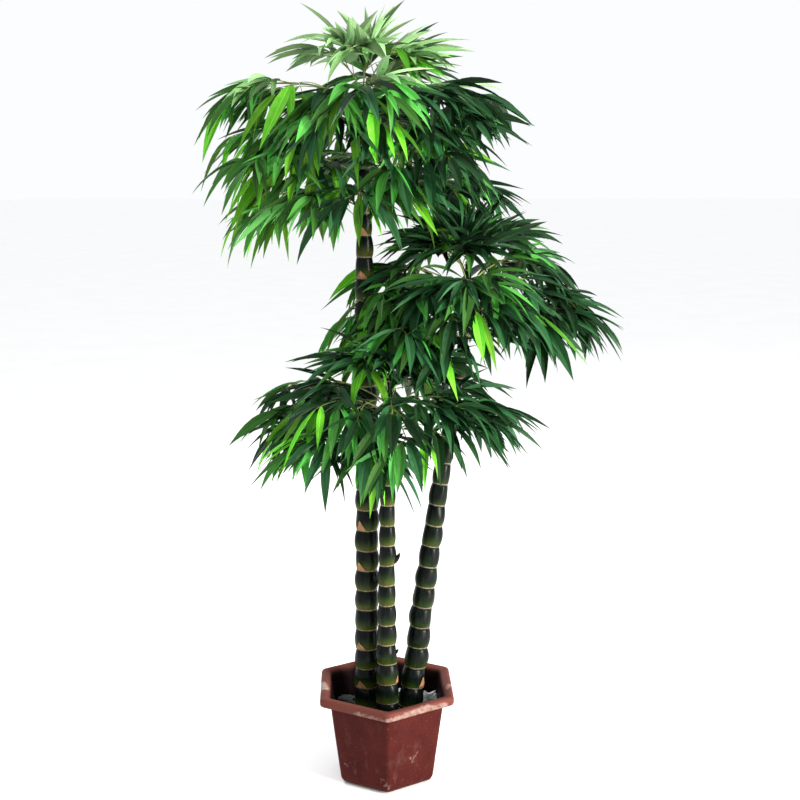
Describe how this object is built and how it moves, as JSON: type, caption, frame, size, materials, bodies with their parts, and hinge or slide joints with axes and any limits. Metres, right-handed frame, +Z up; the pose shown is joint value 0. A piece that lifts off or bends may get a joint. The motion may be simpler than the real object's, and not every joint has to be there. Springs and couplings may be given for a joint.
{
  "type": "artificial potted bamboo",
  "caption": "Artificial bamboo tree: ringed stout culms with crowns of long drooping leaves, set in a six-sided plastic pot.",
  "frame": {"origin": "middle of the pot's flat underside", "axes": "+Z up along the culms, -Y to the front, where a corner of the six-sided pot points; +X to the right seen from the front"},
  "size_m": [0.9815, 0.8309, 1.7771],
  "materials": {
    "pot": "moulded, worn satin",
    "filling": "rough cement",
    "culm": "glossy lacquer, dark to olive green",
    "foliage": "printed polyester cloth on coated wire"
  },
  "bodies": {
    "root": {"pot": "pot", "pot_filling": "filling", "culm_tall": "culm", "culm_short": "culm", "culm_leaning": "culm", "foliage_tall_tier1_1": "foliage", "foliage_tall_tier2_2": "foliage", "foliage_tall_tier2_3": "foliage", "foliage_tall_tier2_4": "foliage", "foliage_tall_tier3_1": "foliage", "foliage_tall_tier3_2": "foliage", "foliage_tall_tier3_3": "foliage", "foliage_tall_tier3_4": "foliage", "foliage_tall_tier4_1": "foliage", "foliage_tall_tier4_2": "foliage", "foliage_tall_tier4_3": "foliage", "foliage_tall_tier4_4": "foliage", "foliage_tall_tier5_1": "foliage", "foliage_tall_tier5_2": "foliage", "foliage_tall_tier5_3": "foliage", "foliage_tall_tier6_1": "foliage", "foliage_tall_tier6_2": "foliage", "foliage_tall_tier6_3": "foliage", "foliage_short_tier1_1": "foliage", "foliage_short_tier2_3": "foliage", "foliage_short_tier2_4": "foliage", "foliage_short_tier3_1": "foliage", "foliage_short_tier3_2": "foliage", "foliage_short_tier3_3": "foliage", "foliage_short_tier4_1": "foliage", "foliage_short_tier4_2": "foliage", "foliage_short_tier4_3": "foliage", "foliage_short_tier5_1": "foliage", "foliage_short_tier5_2": "foliage", "foliage_short_tier6_1": "foliage", "foliage_short_tier6_2": "foliage", "foliage_short_tier6_3": "foliage", "foliage_leaning_tier1_1": "foliage", "foliage_leaning_tier2_2": "foliage", "foliage_leaning_tier2_3": "foliage", "foliage_leaning_tier2_4": "foliage", "foliage_leaning_tier3_1": "foliage", "foliage_leaning_tier3_2": "foliage", "foliage_leaning_tier3_3": "foliage", "foliage_leaning_tier4_1": "foliage", "foliage_leaning_tier4_2": "foliage", "foliage_leaning_tier4_3": "foliage", "foliage_leaning_tier4_4": "foliage", "foliage_leaning_tier5_1": "foliage", "foliage_leaning_tier5_2": "foliage", "foliage_leaning_tier6_1": "foliage", "foliage_leaning_tier6_2": "foliage"}
  },
  "joints": []
}
